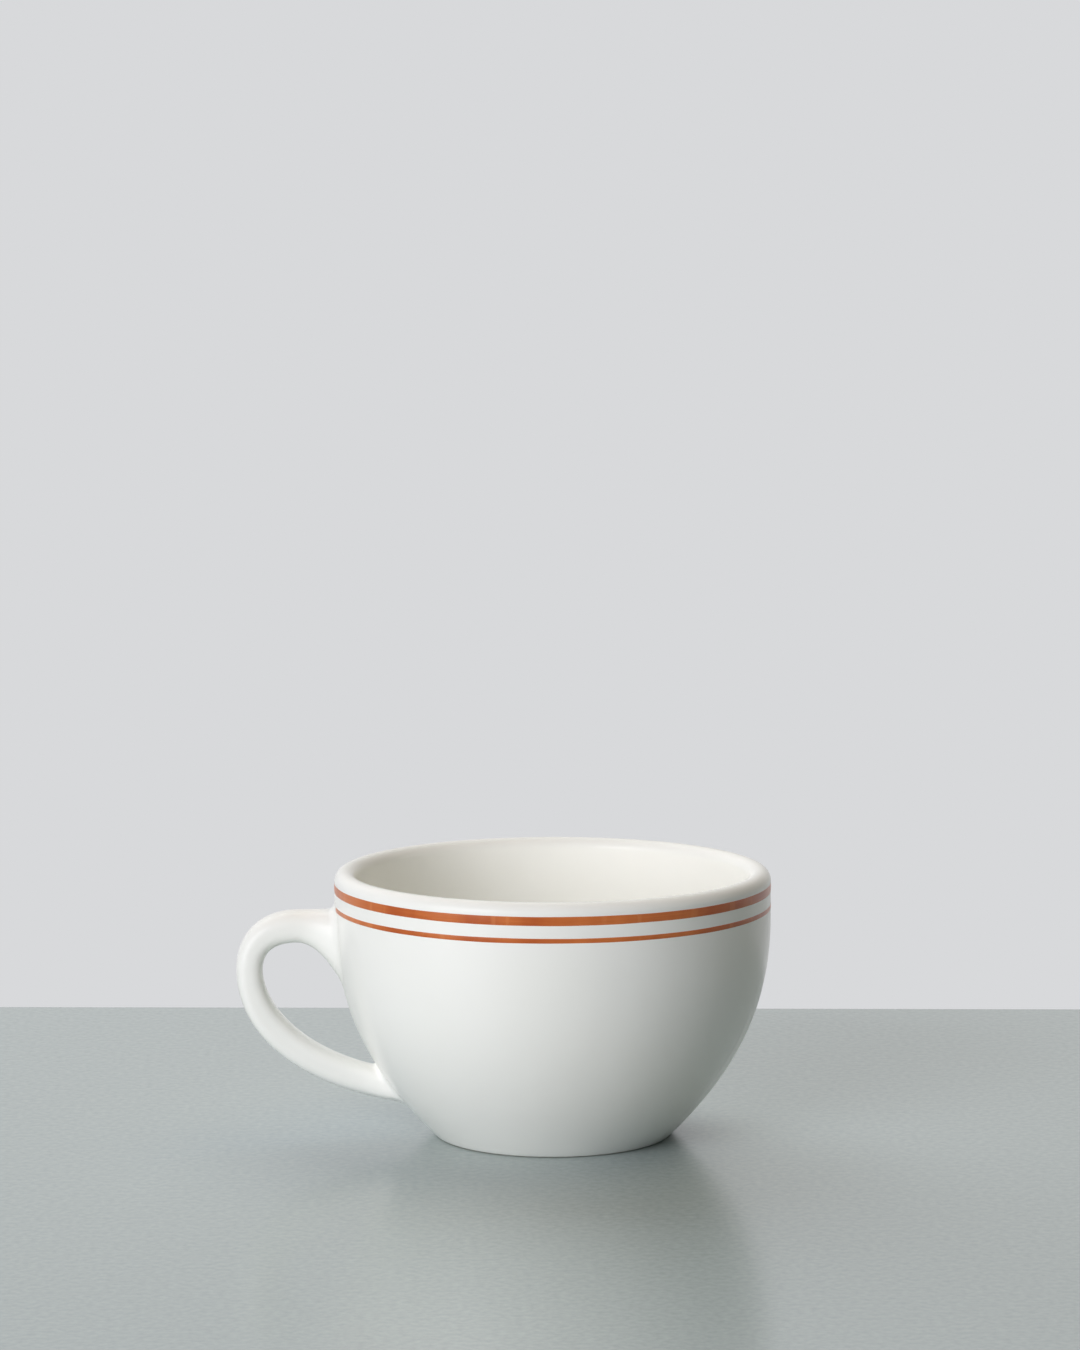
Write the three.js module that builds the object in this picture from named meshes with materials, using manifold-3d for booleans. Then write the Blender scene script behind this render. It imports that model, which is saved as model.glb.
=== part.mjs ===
// A thick-walled coffee cup with one loop handle and two colour bands under the lip.
// Millimetres, +Z up. The origin lies on the table under the middle of the cup's length,
// and the handle points along -X. Inside the group the bowl's own axis is the Z axis.
import * as THREE from 'three';
import { mergeVertices } from 'three/addons/utils/BufferGeometryUtils.js';
import Module from 'manifold-3d';

const wasm = await Module();
wasm.setup();

// Bowl: outside
const rimRadius = 50;
const cupHeight = 61.5;
const lipThickness = 4.9;
const uprightLength = 8.3;
const shoulderPull = 19.4;
const footRadius = 27;
const footSlope = THREE.MathUtils.degToRad(45);
const footPull = 23.5;

// Bowl: foot ring and inside
const footRingWidth = 3.2;
const footEdge = 0.8;
const recessDepth = 2;
const recessLean = 1.5;
const floorHeight = 7;
const floorFillet = 7;
const lowerWall = 5.4;

// Colour bands, counted down from where the lip's rounding ends
const bandInset = 0.35;
const broadBandWidth = 2.05;
const bandSpacing = 2.75;
const narrowBandWidth = 1.15;
const filmThickness = 0.12;
const filmClearance = 0.02;

// Handle: the line through its middle
const handleReach = 22.6;
const handleTopDrop = 9.1;
const bowDrop = 13.6;
const neckLength = 8.7;
const archFullness = 0.62;
const lowerSeatHeight = 11.7;
const armSlope = THREE.MathUtils.degToRad(11);
const bowPull = 11.4;
const armPull = 21.7;

// Handle: its oval section, thickness in the plane of the loop and depth across it
const topThickness = 7.3;
const bowThickness = 6.1;
const armThickness = 6.8;
const topDepth = 9.6;
const bowDepth = 9;
const armDepth = 8.6;
const armSettleShare = 0.5;
const sectionFullness = 2.3;

// Handle: how each end spreads where it meets the wall
const upperFlareDrop = 6.9;
const upperFlareDepth = 5.2;
const lowerFlareDepth = 2.4;
const lowerFlareLength = 9;
const rootDepth = 9;

// Slip that joins the handle to the bowl
const slipThickness = 1.2;
const slipBead = 1.2;
const seatGap = 0.3;
const cutMargin = 1.5;

// Fineness of the facets
const roundSteps = 64;
const wallSteps = 14;
const lipSteps = 8;
const filletSteps = 5;
const edgeSteps = 3;
const neckSteps = 8;
const archSteps = 12;
const armSteps = 20;
const sectionSteps = 22;
const weldDistance = 1e-4;

const lipRadius = lipThickness / 2;
const lipStart = cupHeight - lipRadius;
const shoulderHeight = lipStart - uprightLength;
const point = (radius, height) => new THREE.Vector2(radius, height);
const up = point(0, 1);

// Round a corner of a profile: a curve that leaves both straight sides at the same distance.
function roundedCorner(before, corner, after, distance, steps) {
  const start = before.clone().sub(corner).setLength(distance).add(corner);
  const end = after.clone().sub(corner).setLength(distance).add(corner);
  return new THREE.QuadraticBezierCurve(start, corner, end).getPoints(steps);
}

// The bowl's outer wall: one curve from the foot's corner to the upright stretch under the lip.
const footCorner = point(footRadius, 0);
const footDirection = point(Math.cos(footSlope), Math.sin(footSlope));
const outerCurve = new THREE.CubicBezierCurve(
  footDirection.clone().multiplyScalar(footEdge).add(footCorner),
  footDirection.clone().multiplyScalar(footPull).add(footCorner),
  point(rimRadius, shoulderHeight - shoulderPull),
  point(rimRadius, shoulderHeight),
);
const outerWall = [...outerCurve.getPoints(wallSteps), point(rimRadius, lipStart)];

// The stretch of the outer wall's facets at a height, as its lower and upper point.
function stretchAt(height) {
  const first = outerWall.findIndex((p) => p.y >= height);
  const above = first < 0 ? outerWall.length - 1 : Math.max(1, first);
  return [outerWall[above - 1], outerWall[above]];
}

// Radius of the outer wall at a height.
function outerRadiusAt(height) {
  const [lower, upper] = stretchAt(height);
  return THREE.MathUtils.mapLinear(height, lower.y, upper.y, lower.x, upper.x);
}

// How far a point in space stands off the outer wall, square to it.
function wallDistance(place) {
  const [lower, upper] = stretchAt(place.z);
  const lean = upper.clone().sub(lower).normalize();
  return (Math.hypot(place.x, place.y) - outerRadiusAt(place.z)) * lean.y;
}

// The foot: a recess under the base, the ring's flat face and its rounded edges.
function footProfile() {
  const ringInner = point(footRadius - footEdge - footRingWidth - footEdge, 0);
  const recessCorner = point(ringInner.x - recessLean, recessDepth);
  const recessMiddle = point(0, recessDepth);
  return [
    recessMiddle,
    ...roundedCorner(recessMiddle, recessCorner, ringInner, footEdge, edgeSteps),
    ...roundedCorner(recessCorner, ringInner, footCorner, footEdge, edgeSteps),
    ...roundedCorner(ringInner, footCorner, outerCurve.getPoint(0), footEdge, edgeSteps).slice(0, -1),
  ];
}

// The lip: a half circle from the outer wall over to the inner one.
function lipProfile() {
  const half = new THREE.EllipseCurve(rimRadius - lipRadius, lipStart, lipRadius, lipRadius, 0, Math.PI);
  return half.getPoints(lipSteps).slice(1);
}

// The inside: the outer curve set in by the wall, thicker lower down, then a fillet and the floor.
function innerProfile() {
  const wall = [];
  for (let i = wallSteps; i >= 0; i -= 1) {
    const t = i / wallSteps;
    const tangent = outerCurve.getTangent(t);
    const inward = point(-tangent.y, tangent.x);
    const thickness = THREE.MathUtils.lerp(lowerWall, lipThickness, t);
    wall.push(outerCurve.getPoint(t).addScaledVector(inward, thickness));
  }
  const kept = wall.filter((p) => p.y > floorHeight + floorFillet);
  const [previous, last] = kept.slice(-2);
  const fall = last.clone().sub(previous);
  const corner = last.clone().addScaledVector(fall, (floorHeight - last.y) / fall.y);
  const middle = point(0, floorHeight);
  const fillet = roundedCorner(last, corner, middle, last.distanceTo(corner), filletSteps);
  return [...kept, ...fillet.slice(1), middle];
}

// Turn a geometry into a solid that can be joined and cut.
function solidOf(geometry) {
  geometry.deleteAttribute('normal');
  geometry.deleteAttribute('uv');
  const welded = mergeVertices(geometry, weldDistance);
  const corners = welded.index.array;
  const kept = [];
  for (let i = 0; i < corners.length; i += 3) {
    const [a, b, c] = corners.slice(i, i + 3);
    if (a !== b && b !== c && c !== a) kept.push(a, b, c);
  }
  const vertProperties = new Float32Array(welded.attributes.position.array);
  const triVerts = new Uint32Array(kept);
  return new wasm.Manifold(new wasm.Mesh({ numProp: 3, vertProperties, triVerts }));
}

// Spin a profile round the bowl's axis.
function turned(profile) {
  const geometry = new THREE.LatheGeometry(profile, roundSteps);
  geometry.rotateX(Math.PI / 2);
  return solidOf(geometry);
}

// Everything inside the outer wall, grown by a distance: what pieces on the wall are cut by.
function wallBody(growth) {
  const grown = outerWall.map((p, i) => {
    const before = outerWall[Math.max(i - 1, 0)];
    const after = outerWall[Math.min(i + 1, outerWall.length - 1)];
    const along = after.clone().sub(before).normalize();
    return p.clone().add(point(along.y, -along.x).multiplyScalar(growth));
  });
  const bottom = point(0, grown[0].y);
  const top = point(0, grown[grown.length - 1].y);
  return turned([bottom, ...grown, top]);
}

// The handle's line in three stretches, from inside the wall at the top round to inside the wall below.
// Each station holds the middle of the section, its axis, and its thickness and depth.
const handleTop = cupHeight - handleTopDrop;
const neckEnd = point(rimRadius + neckLength, handleTop - topThickness / 2);
const bow = point(rimRadius + handleReach - bowThickness / 2, handleTop - bowDrop);
const seat = point(outerRadiusAt(lowerSeatHeight), lowerSeatHeight);
const armDirection = point(Math.cos(armSlope), Math.sin(armSlope));

// The neck keeps a level top while its underside falls away to the wall in a parabola.
function neckStations() {
  const station = (out, spread) => ({
    middle: point(rimRadius + out, neckEnd.y - (spread * upperFlareDrop) / 2),
    axis: up,
    thickness: topThickness + spread * upperFlareDrop,
    depth: topDepth + spread * upperFlareDepth,
  });
  const stations = [station(-rootDepth, 1)];
  for (let i = 0; i < neckSteps; i += 1) {
    const share = i / neckSteps;
    stations.push(station(share * neckLength, (1 - share) ** 2));
  }
  return stations;
}

// The arch turns from level to straight down at the bow.
function archStations() {
  const line = new THREE.CubicBezierCurve(
    neckEnd,
    point(THREE.MathUtils.lerp(neckEnd.x, bow.x, archFullness), neckEnd.y),
    point(bow.x, THREE.MathUtils.lerp(bow.y, neckEnd.y, archFullness)),
    bow,
  );
  const stations = [];
  for (let i = 0; i < archSteps; i += 1) {
    const share = i / archSteps;
    const blend = THREE.MathUtils.smoothstep(share, 0, 1);
    stations.push({
      ...stationOn(line, share),
      thickness: THREE.MathUtils.lerp(topThickness, bowThickness, blend),
      depth: THREE.MathUtils.lerp(topDepth, bowDepth, blend),
    });
  }
  return stations;
}

// The arm sweeps back under the loop and spreads sideways at its seat on the wall.
function armStations() {
  const line = new THREE.CubicBezierCurve(
    bow,
    point(bow.x, bow.y - bowPull),
    armDirection.clone().multiplyScalar(armPull).add(seat),
    seat,
  );
  const length = line.getLength();
  const stations = [];
  for (let i = 0; i <= armSteps; i += 1) {
    const share = i / armSteps;
    const blend = THREE.MathUtils.smoothstep(share, 0, armSettleShare);
    const spread = Math.max(0, 1 - ((1 - share) * length) / lowerFlareLength) ** 2;
    stations.push({
      ...stationOn(line, share),
      thickness: THREE.MathUtils.lerp(bowThickness, armThickness, blend),
      depth: THREE.MathUtils.lerp(bowDepth, armDepth, blend) + spread * lowerFlareDepth,
    });
  }
  const end = stations[armSteps];
  stations.push({ ...end, middle: end.middle.clone().addScaledVector(armDirection, -rootDepth) });
  return stations;
}

// A station on a curve: where it is, and the direction square to it that points out of the loop.
function stationOn(curve, t) {
  const tangent = curve.getTangent(t);
  return { middle: curve.getPoint(t), axis: point(-tangent.y, tangent.x) };
}

// One full oval round a station, as points in space, grown by a distance on every side.
function sectionAt(station, growth) {
  const power = 2 / sectionFullness;
  const oval = (wave) => Math.sign(wave) * Math.abs(wave) ** power;
  const section = [];
  for (let i = 0; i < sectionSteps; i += 1) {
    const angle = (i / sectionSteps) * 2 * Math.PI;
    const inPlane = oval(Math.cos(angle)) * (station.thickness / 2 + growth);
    const across = oval(Math.sin(angle)) * (station.depth / 2 + growth);
    const place = station.middle.clone().addScaledVector(station.axis, inPlane);
    section.push(new THREE.Vector3(-place.x, across, place.y));
  }
  return section;
}

// Join sections of equal count into one closed skin with flat ends.
function loft(sections) {
  const sides = sections[0].length;
  const lastRing = (sections.length - 1) * sides;
  const index = [];
  for (let ring = 0; ring < lastRing; ring += sides) {
    for (let i = 0; i < sides; i += 1) {
      const a = ring + i;
      const b = ring + ((i + 1) % sides);
      index.push(a, b, a + sides, b, b + sides, a + sides);
    }
  }
  for (let i = 1; i < sides - 1; i += 1) {
    index.push(0, i + 1, i, lastRing, lastRing + i, lastRing + i + 1);
  }
  const geometry = new THREE.BufferGeometry().setFromPoints(sections.flat());
  geometry.setIndex(index);
  return solidOf(geometry);
}

const neck = neckStations();
const arm = armStations();
const stations = [...neck, ...archStations(), ...arm];
const handleBody = (growth) => loft(stations.map((station) => sectionAt(station, growth)));

// A ring round one end of the handle, grown by a distance, where its skin stands at a height off the wall.
function ringOffWall(ending, growth, height) {
  const sections = ending.map((station) => sectionAt(station, growth));
  return sections[0].map((_, side) => {
    const rail = sections.map((section) => section[side]);
    const next = rail.findIndex((p) => wallDistance(p) >= height);
    const [a, b] = [rail[next - 1], rail[next]];
    return a.clone().lerp(b, THREE.MathUtils.inverseLerp(wallDistance(a), wallDistance(b), height));
  });
}

// The slip at one end of the handle: a pad on the wall whose flank curves in to the handle's skin.
function slipPad(ending) {
  const pad = wallBody(seatGap + slipThickness).subtract(wallBody(seatGap));
  const rings = [ringOffWall(ending, slipBead, seatGap - cutMargin)];
  for (let i = 0; i <= filletSteps; i += 1) {
    const share = i / filletSteps;
    rings.push(ringOffWall(ending, slipBead * (1 - share) ** 2, seatGap + share * slipThickness));
  }
  rings.push(ringOffWall(ending, 0, seatGap + slipThickness + cutMargin));
  const downTheHandle = ending === neck ? rings : rings.reverse();
  return loft(downTheHandle).intersect(pad);
}

// A film of colour on the outer wall between two heights.
function bandFilm(top, width) {
  const low = top - width;
  const between = outerWall.filter((p) => p.y > low && p.y < top);
  const face = [point(outerRadiusAt(low), low), ...between, point(outerRadiusAt(top), top)];
  const inside = face.map((p) => point(p.x + filmClearance, p.y));
  const outside = inside.map((p) => point(p.x + filmThickness, p.y));
  return turned([...outside, ...inside.reverse(), outside[0]]);
}

const ceramic = () => new THREE.MeshStandardMaterial({ color: 0xf1f0ea, roughness: 0.15, metalness: 0 });
const slip = () => new THREE.MeshStandardMaterial({ color: 0xeceae2, roughness: 0.2, metalness: 0 });
const enamel = () => new THREE.MeshStandardMaterial({ color: 0xb8642f, roughness: 0.25, metalness: 0 });

function named(name, solid, material) {
  const { vertProperties, triVerts } = solid.getMesh();
  const geometry = new THREE.BufferGeometry();
  geometry.setAttribute('position', new THREE.BufferAttribute(vertProperties, 3));
  geometry.setIndex(new THREE.BufferAttribute(triVerts, 1));
  geometry.computeVertexNormals();
  const mesh = new THREE.Mesh(geometry, material);
  mesh.name = name;
  return mesh;
}

const bowl = turned([...footProfile(), ...outerWall, ...lipProfile(), ...innerProfile()]);
const handle = handleBody(0).subtract(wallBody(seatGap + slipThickness + seatGap));
const upperSlip = slipPad(neck);
const lowerSlip = slipPad([...arm].reverse());
const broadTop = lipStart - bandInset;
const narrowTop = broadTop - broadBandWidth - bandSpacing;
const broadBand = bandFilm(broadTop, broadBandWidth);
const narrowBand = bandFilm(narrowTop, narrowBandWidth).subtract(handleBody(slipBead + seatGap));

const cup = new THREE.Group();
cup.position.x = handleReach / 2;
cup.add(
  named('bowl', bowl, ceramic()),
  named('handle', handle, ceramic()),
  named('upper_slip_joint', upperSlip, slip()),
  named('lower_slip_joint', lowerSlip, slip()),
  named('broad_band', broadBand, enamel()),
  named('narrow_band', narrowBand, enamel()),
);

export default cup;
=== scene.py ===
# %% [markdown]
# # A thick white coffee cup with two rust bands
#
# The cup is one bowl, one loop handle, the two joints of slip that hold the handle on, and two
# bands of rust enamel under the lip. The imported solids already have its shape, in coarse facets.
# This lesson draws each piece again as a fine smooth surface in the same place, glazes it, sets it
# on a table and photographs it.

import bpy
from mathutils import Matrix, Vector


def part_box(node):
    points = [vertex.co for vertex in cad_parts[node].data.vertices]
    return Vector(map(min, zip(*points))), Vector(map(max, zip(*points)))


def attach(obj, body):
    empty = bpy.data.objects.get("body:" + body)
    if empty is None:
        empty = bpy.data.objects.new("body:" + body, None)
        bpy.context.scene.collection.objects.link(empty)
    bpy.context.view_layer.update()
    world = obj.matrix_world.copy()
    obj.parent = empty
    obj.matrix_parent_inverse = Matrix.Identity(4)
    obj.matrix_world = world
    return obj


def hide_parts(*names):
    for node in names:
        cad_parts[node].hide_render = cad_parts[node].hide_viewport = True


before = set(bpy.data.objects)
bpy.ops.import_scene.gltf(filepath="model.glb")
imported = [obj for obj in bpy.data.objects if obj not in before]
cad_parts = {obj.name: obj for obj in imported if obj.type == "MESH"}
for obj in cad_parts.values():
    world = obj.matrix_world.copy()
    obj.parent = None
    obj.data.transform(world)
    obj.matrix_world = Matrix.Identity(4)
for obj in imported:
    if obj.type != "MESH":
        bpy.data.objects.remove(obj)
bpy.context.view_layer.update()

import math

import bpy
import numpy as np
from mathutils import Matrix, Vector

print("solids:", sorted(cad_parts))

# %% [markdown]
# ## Sizes that the solids give
#
# Everything is worked out in millimetres and turned to metres when a mesh is made. The bowl's own
# box says where its axis stands, how wide the rim is and how tall the cup is, so the fine surfaces
# can't drift away from the solids. The handle's box says how far the loop reaches.

# %% Read the main sizes from the boxes
MM = 0.001


def box_mm(node):
    """Lowest and highest corner of a solid, metres divided by the size of a millimetre."""
    return [np.array(corner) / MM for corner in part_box(node)]


bowl_low, bowl_high = box_mm("bowl")
handle_low, handle_high = box_mm("handle")
axis_x = (bowl_low[0] + bowl_high[0]) / 2
rim_radius = (bowl_high[0] - bowl_low[0]) / 2
cup_height = bowl_high[2]
handle_top = handle_high[2]
bow_radius = axis_x - handle_low[0]
print(f"rim {rim_radius:.2f} mm, height {cup_height:.2f} mm, loop out to {bow_radius:.2f} mm")

# %% [markdown]
# ## From a grid of points to a mesh
#
# A shape that is a function of two parameters gives a table of points, in rows and columns. The
# columns run round the shape and meet themselves. The rows either meet themselves too, as on a
# ring, or close in a point at each end, as on a bottle. The sum of the small signed volumes under
# the faces tells whether the faces look outwards, so no shape can come out inside out.

# %% Faces of a closed grid and the volume inside them
def grid_faces(grid, ring):
    """Quads between neighbours of a rows by columns grid, with fans to the mean of the end rows."""
    rows, columns, _ = grid.shape
    points = grid.reshape(-1, 3)
    index = np.arange(rows * columns).reshape(rows, columns)
    near = index if ring else index[:-1]
    far = np.roll(index, -1, axis=0) if ring else index[1:]
    quads = np.stack([near, np.roll(near, -1, 1), np.roll(far, -1, 1), far], axis=-1)
    faces = [quads.reshape(-1, 4)]
    if not ring:
        points = np.vstack([points, grid[0].mean(0), grid[-1].mean(0)])
        first, last = index[0], index[-1]
        start, end = np.full(columns, len(points) - 2), np.full(columns, len(points) - 1)
        faces.append(np.stack([start, np.roll(first, -1), first], axis=-1))
        faces.append(np.stack([last, np.roll(last, -1), end], axis=-1))
    return points, faces


def volume_inside(points, faces):
    """Sum of a . (b x c) / 6 over the faces' triangles, above zero when they look outwards."""
    return sum(
        np.einsum("ij,ij->", points[f[:, 0]], np.cross(points[f[:, i]], points[f[:, i + 1]]))
        for f in faces
        for i in range(1, f.shape[1] - 1)
    ) / 6


cube = np.array([[[0, 0, h], [1, 0, h], [1, 1, h], [0, 1, h]] for h in (0.0, 1.0)])
print(f"volume inside a unit cube: {volume_inside(*grid_faces(cube, ring=False)):.2f}")

# %% [markdown]
# The faces then become a smooth-shaded mesh. Only corners that are sharper than a set angle keep an
# edge. A second helper ties the piece to the imported part: the body it rides on and the solid that
# it stands for, which is hidden.

# %% Make the object and tie it to the part
SHARP_CORNER = math.radians(40)
CUBIC_CM = 10**3


def closed_skin(name, grid, ring=False):
    """A closed mesh on the grid, its faces reversed if the volume inside them is negative."""
    points, faces = grid_faces(grid, ring)
    volume = volume_inside(points, faces)
    turned = [f if volume > 0 else f[:, ::-1] for f in faces]
    mesh = bpy.data.meshes.new(name)
    mesh.from_pydata((points * MM).tolist(), [], [face for f in turned for face in f.tolist()])
    mesh.polygons.foreach_set("use_smooth", np.ones(len(mesh.polygons), bool))
    mesh.set_sharp_from_angle(angle=SHARP_CORNER)
    mesh.validate()
    piece = bpy.data.objects.new(name, mesh)
    bpy.context.scene.collection.objects.link(piece)
    print(f"{name}: {len(mesh.polygons)} faces, {abs(volume) / CUBIC_CM:.2f} cubic centimetres")
    return piece


def settle(piece, node):
    """The piece rides on the one body and stands for its solid, which is hidden."""
    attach(piece, "root")
    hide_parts(node)


print(f"corners over {math.degrees(SHARP_CORNER):.0f} degrees keep an edge")

# %% [markdown]
# ## The bowl's outer wall
#
# A cup like this is formed in a plaster mould on a wheel, so its bowl is a pure body of revolution,
# and one profile says everything about it. The profile could be traced with a curve object. Here it
# is built from formulas, so that the bands and the handle's joints can ask where the wall is. One
# cubic Bezier curve carries the outer wall from the foot's edge to the upright stretch under the
# lip.

# %% Curves in the plane of radius and height
lip_radius = 2.45
upright_length = 8.3
lip_start = cup_height - lip_radius
shoulder_height = lip_start - upright_length
foot_corner = np.array([27.0, 0.0])
foot_lean = math.radians(45)
foot_way = np.array([math.cos(foot_lean), math.sin(foot_lean)])
foot_edge = 0.8
foot_pull = 23.5
shoulder_pull = 19.4
FINE_COUNT = 2001


def cubic(points, t):
    """Cubic Bezier: the four points weighted by (1-t)^3, 3t(1-t)^2, 3t^2(1-t) and t^3."""
    a, b, c, d = [np.asarray(p, float) for p in points]
    t = np.asarray(t, float)[:, None]
    return (1 - t) ** 3 * a + 3 * t * (1 - t) ** 2 * b + 3 * t**2 * (1 - t) * c + t**3 * d


def cubic_way(points, t):
    """Unit tangent of the cubic Bezier: its derivative divided by its own length."""
    a, b, c, d = [np.asarray(p, float) for p in points]
    t = np.asarray(t, float)[:, None]
    way = (1 - t) ** 2 * (b - a) + 2 * t * (1 - t) * (c - b) + t**2 * (d - c)
    return way / np.linalg.norm(way, axis=1, keepdims=True)


outer_points = [
    foot_corner + foot_way * foot_edge,
    foot_corner + foot_way * foot_pull,
    (rim_radius, shoulder_height - shoulder_pull),
    (rim_radius, shoulder_height),
]
fine = np.linspace(0, 1, FINE_COUNT)
fine_outer = np.vstack([cubic(outer_points, fine), [[rim_radius, lip_start]]])
print("outer wall leaves the foot at", np.round(fine_outer[0], 2), "mm")

# %% [markdown]
# ## The foot
#
# The cup stands on a low ring, and the clay inside the ring is cut back so that the base can't
# rock. A Bevel modifier could round the corners, but it would need its edges picked out one by one.
# Here each corner of the profile gets its own small curve before anything is spun.

# %% The foot's part of the profile
ring_width = 3.2
recess_depth, recess_lean = 2.0, 1.5
POLE_SHARE, RECESS_SHARE = 0.03, 0.94
FLAT_COUNT, RECESS_EDGE_COUNT, FOOT_EDGE_COUNT = 14, 8, 10


def rounded(before, corner, after, distance, count):
    """Quadratic Bezier that leaves both sides of a corner at one distance from it."""
    start = corner + (before - corner) / np.linalg.norm(before - corner) * distance
    end = corner + (after - corner) / np.linalg.norm(after - corner) * distance
    t = np.linspace(0, 1, count)[:, None]
    return (1 - t) ** 2 * start + 2 * t * (1 - t) * corner + t**2 * end


def foot_profile():
    """Recess, its rounded corner, the ring's flat face and the rounded edge under the wall."""
    ring_inner = np.array([foot_corner[0] - 2 * foot_edge - ring_width, 0.0])
    recess = np.array([ring_inner[0] - recess_lean, recess_depth])
    middle = np.array([0.0, recess_depth])
    wall_start = np.array(outer_points[0])
    flat = np.linspace(POLE_SHARE, RECESS_SHARE, FLAT_COUNT)[:, None] * (recess - middle) + middle
    return np.vstack([
        flat,
        rounded(middle, recess, ring_inner, foot_edge, RECESS_EDGE_COUNT),
        rounded(recess, ring_inner, foot_corner, foot_edge, RECESS_EDGE_COUNT),
        rounded(ring_inner, foot_corner, wall_start, foot_edge, FOOT_EDGE_COUNT)[:-1],
    ])


foot = foot_profile()
standing = foot[foot[:, 1] == 0.0, 0]
print(f"foot ring stands on radius {standing.min():.1f} to {standing.max():.1f} mm")

# %% [markdown]
# ## The inside
#
# The mould shapes the outside, and a blade that is lowered into the turning clay shapes the inside.
# A Solidify modifier would give the wall one thickness. The real wall is thicker near the floor, so
# the outer curve is moved inwards, square to itself, by a thickness that grows on the way down. A
# fillet then carries it into the flat floor.

# %% The inside's part of the profile
WALL_LOW, WALL_HIGH = 5.4, 4.9
floor_height, floor_fillet = 7.0, 7.0
WALL_COUNT, FLOOR_FILLET_COUNT = 72, 20


def inner_profile():
    """Outer curve set in along its normal, then a fillet down to the floor and the floor itself."""
    t = np.linspace(1, 0, FINE_COUNT)
    way = cubic_way(outer_points, t)
    inward = np.stack([-way[:, 1], way[:, 0]], axis=1)
    wall = cubic(outer_points, t) + inward * (WALL_LOW + (WALL_HIGH - WALL_LOW) * t)[:, None]
    wall = wall[wall[:, 1] > floor_height + floor_fillet]
    last, fall = wall[-1], wall[-1] - wall[-2]
    corner = last + fall * (floor_height - last[1]) / fall[1]
    middle = np.array([0.0, floor_height])
    reach = np.linalg.norm(last - corner)
    fillet = rounded(last, corner, middle, reach, FLOOR_FILLET_COUNT)[1:]
    picked = wall[np.linspace(0, len(wall) - 1, WALL_COUNT).astype(int)]
    flat = np.linspace(1, POLE_SHARE, FLAT_COUNT)[1:, None] * (fillet[-1] - middle) + middle
    return np.vstack([picked, fillet, flat])


inside = inner_profile()
print(f"inside: {cup_height - inside[-1, 1]:.1f} mm deep, {2 * inside[0, 0]:.1f} mm across the top")

# %% [markdown]
# ## The lip and the whole profile
#
# The lip is sponged to a half round over the full thickness of the wall, which is kind to the mouth
# and hard to chip. The parts are then joined in one list of points: from the middle of the recess
# out to the foot ring, up the outside, over the lip and down to the middle of the floor.

# %% The whole profile, from under the foot round to the middle of the floor
LIP_COUNT, UPRIGHT_COUNT = 33, 12

half_turn = np.linspace(0, np.pi, LIP_COUNT)[1:-1]
lip_profile = np.stack([
    rim_radius - lip_radius + lip_radius * np.cos(half_turn),
    lip_start + lip_radius * np.sin(half_turn),
], axis=1)
upright = np.linspace([rim_radius, shoulder_height], [rim_radius, lip_start], UPRIGHT_COUNT)
outer_profile = np.vstack([cubic(outer_points, np.linspace(0, 1, WALL_COUNT)), upright[1:]])
inner_rim = np.array([[rim_radius - 2 * lip_radius, lip_start]])
profile = np.vstack([foot, outer_profile, lip_profile, inner_rim, inside])
print(f"profile of {len(profile)} points, lip crest at {profile[:, 1].max():.2f} mm")

# %% [markdown]
# ## Turning the bowl
#
# Blender's Screw modifier could spin the profile. Here the spin is one outer product of the profile
# with the cosine and sine of the turn, because then the bands can share the same turn.

# %% Spin the profile
ROUND_COUNT = 192
turn = np.arange(ROUND_COUNT) / ROUND_COUNT * 2 * np.pi


def lathe(curve):
    """Each (radius, height) becomes (axis + radius cos turn, radius sin turn, height)."""
    return np.stack([
        axis_x + curve[:, :1] * np.cos(turn),
        curve[:, :1] * np.sin(turn),
        np.repeat(curve[:, 1:], ROUND_COUNT, axis=1),
    ], axis=-1)


bowl = closed_skin("turned_bowl", lathe(profile))
settle(bowl, "bowl")

# %% [markdown]
# ## The handle
#
# The loop is cast by itself in a small mould and stuck on while the clay is still soft. Its line
# has three stretches: a level neck, an arch that turns down to the bow, and an arm that sweeps back
# to the wall. An oval section rides along that line. Curve objects with a bevel could do this, but
# the section has to change all the way, thick and wide at the roots and slender at the bow. The
# line lies in one upright plane, so each point of it is a distance from the axis and a height.

# %% Sizes of the handle and the points that its line runs through
top_thickness, bow_thickness, arm_thickness = 7.3, 6.1, 6.8
top_depth, bow_depth, arm_depth = 9.6, 9.0, 8.6
neck_length, arch_fullness = 8.7, 0.62
bow_drop, bow_pull, arm_pull = 13.6, 11.4, 21.7
seat_height, arm_slope = 11.7, math.radians(11)
ROOT_DEPTH, ROOT_COUNT = 9.0, 25

neck_end = np.array([rim_radius + neck_length, handle_top - top_thickness / 2])
bow_point = np.array([bow_radius - bow_thickness / 2, handle_top - bow_drop])
seat = np.array([np.interp(seat_height, fine_outer[:, 1], fine_outer[:, 0]), seat_height])
arm_way = np.array([math.cos(arm_slope), math.sin(arm_slope)])
turning_points = np.round([neck_end, bow_point, seat], 1).tolist()
print("end of the neck, bow and seat, as radius and height:", turning_points)

# %% [markdown]
# ### The neck
#
# The neck leaves the wall level, for a thumb to rest on, and its underside swells towards the wall,
# where the pull of a full cup is greatest. Each stretch of the handle is a list of stations. A
# station has a middle point, a direction across the line, a thickness and a width from side to
# side. The first stations lie inside the wall, to be cut off later.

# %% Stations of the neck
upper_flare_drop, upper_flare_depth = 6.9, 5.2
NECK_COUNT = 48


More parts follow.
